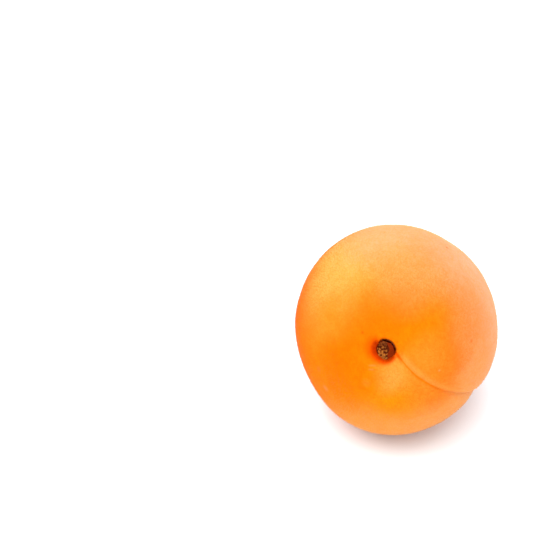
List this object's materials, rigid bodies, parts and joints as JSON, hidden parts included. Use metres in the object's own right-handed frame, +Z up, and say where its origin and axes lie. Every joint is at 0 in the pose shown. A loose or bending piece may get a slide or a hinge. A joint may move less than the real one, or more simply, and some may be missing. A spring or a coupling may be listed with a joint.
{
  "type": "apricot",
  "caption": "Ripe whole apricot lying on its side, with a suture crease, a stem pit and the dried stub of its stem.",
  "frame": {"origin": "middle of the small flat spot that the fruit rests on, on the surface below its weight", "axes": "+Z up, -Y towards the stem end, whose axis looks 26.6 degrees upwards, +X towards the side that the suture runs down"},
  "size_m": [0.0502, 0.0531, 0.0508],
  "materials": {
    "apricot_skin": "velvety, fine short fuzz, orange to yellow with paler peach edges",
    "dry_stem": "rough, dry, brown"
  },
  "bodies": {
    "root": {"fruit": "apricot_skin", "stem": "dry_stem"}
  },
  "joints": []
}
